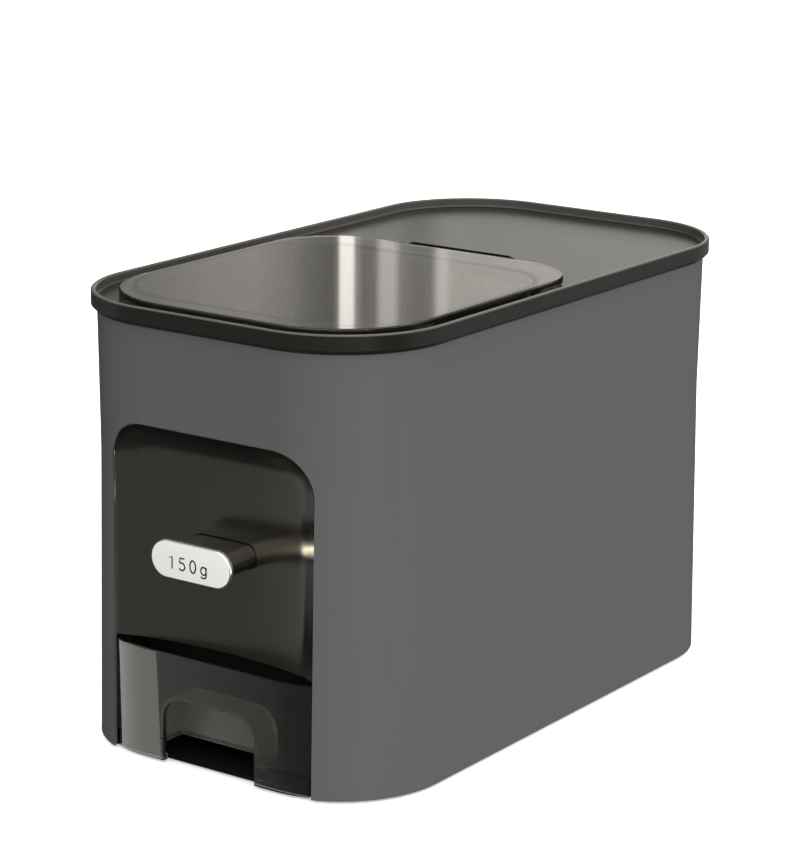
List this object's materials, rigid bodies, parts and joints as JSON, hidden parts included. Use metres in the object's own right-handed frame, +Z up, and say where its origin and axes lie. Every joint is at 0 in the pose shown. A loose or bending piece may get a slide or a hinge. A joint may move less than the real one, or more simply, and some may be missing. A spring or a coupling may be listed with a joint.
{
  "type": "rice storage bin",
  "caption": "Countertop rice bin with a smoked hinged lid, steel hopper, sprung push-button portion valve and a clear pull-out drawer.",
  "frame": {"origin": "on the table, under the middle of the whole outline with the button out", "axes": "+Z up, the button and drawer face -Y, +X to the right when seen from the front"},
  "size_m": [0.2408, 0.4364, 0.28],
  "materials": {
    "shell_plastic": "satin grey coat",
    "black_plastic": "moulded black",
    "foot_rubber": "matte rubber",
    "screw_steel": "zinc plated",
    "rim_plastic": "smooth dark brown black",
    "seal_silicone": "soft silicone",
    "liner_steel": "brushed stainless",
    "white_plastic": "moulded white",
    "shutter_plastic": "moulded grey",
    "panel_plastic": "satin gloss dark",
    "button_metal": "pale satin with a bright bevel",
    "spring_steel": "drawn wire",
    "smoked_drawer": "clear smoked polish",
    "smoked_lid": "clear smoked polish"
  },
  "bodies": {
    "housing": {"outer_shell": "shell_plastic", "base_plate": "black_plastic", "foot_front_left": "foot_rubber", "foot_front_right": "foot_rubber", "foot_rear_left": "foot_rubber", "foot_rear_right": "foot_rubber", "base_screws": "screw_steel", "inner_frame": "black_plastic", "top_frame": "rim_plastic", "liner_seal": "seal_silicone", "hopper_liner": "liner_steel", "outlet_throat": "white_plastic", "metering_chamber": "white_plastic", "chamber_screws": "screw_steel", "shutter_tray": "white_plastic", "guide_pin_left": "screw_steel", "guide_pin_right": "screw_steel", "return_spring_left": "spring_steel", "return_spring_right": "spring_steel", "dispenser_panel": "panel_plastic", "panel_screws": "screw_steel", "drawer_guide_left": "white_plastic", "drawer_guide_right": "white_plastic", "drawer_stop": "foot_rubber", "hinge_pin_left": "screw_steel", "hinge_pin_right": "screw_steel"},
    "lid": {"lid_panel": "smoked_lid", "lid_gasket": "seal_silicone"},
    "drawer": {"drawer_tub": "smoked_drawer"},
    "button": {"button_body": "panel_plastic", "button_face": "button_metal", "button_screws": "screw_steel", "push_yoke": "black_plastic", "upper_shutter": "shutter_plastic", "lower_shutter": "shutter_plastic"}
  },
  "joints": [
    {"name": "lid_hinge", "type": "hinge", "parent": "housing", "child": "lid", "pos_m": [0, 0.0476, 0.2726], "axis": [-1, 0, 0], "range_deg": [0, 95]},
    {"name": "drawer_slide", "type": "slide", "parent": "housing", "child": "drawer", "axis": [0, -1, 0], "range_m": [0, 0.105]},
    {"name": "button_push", "type": "slide", "parent": "housing", "child": "button", "axis": [0, 1, 0], "range_m": [0, 0.0237], "stiffness_N_per_m": 400, "springref_m": -0.01, "deforming": ["return_spring_left", "return_spring_right"]}
  ]
}
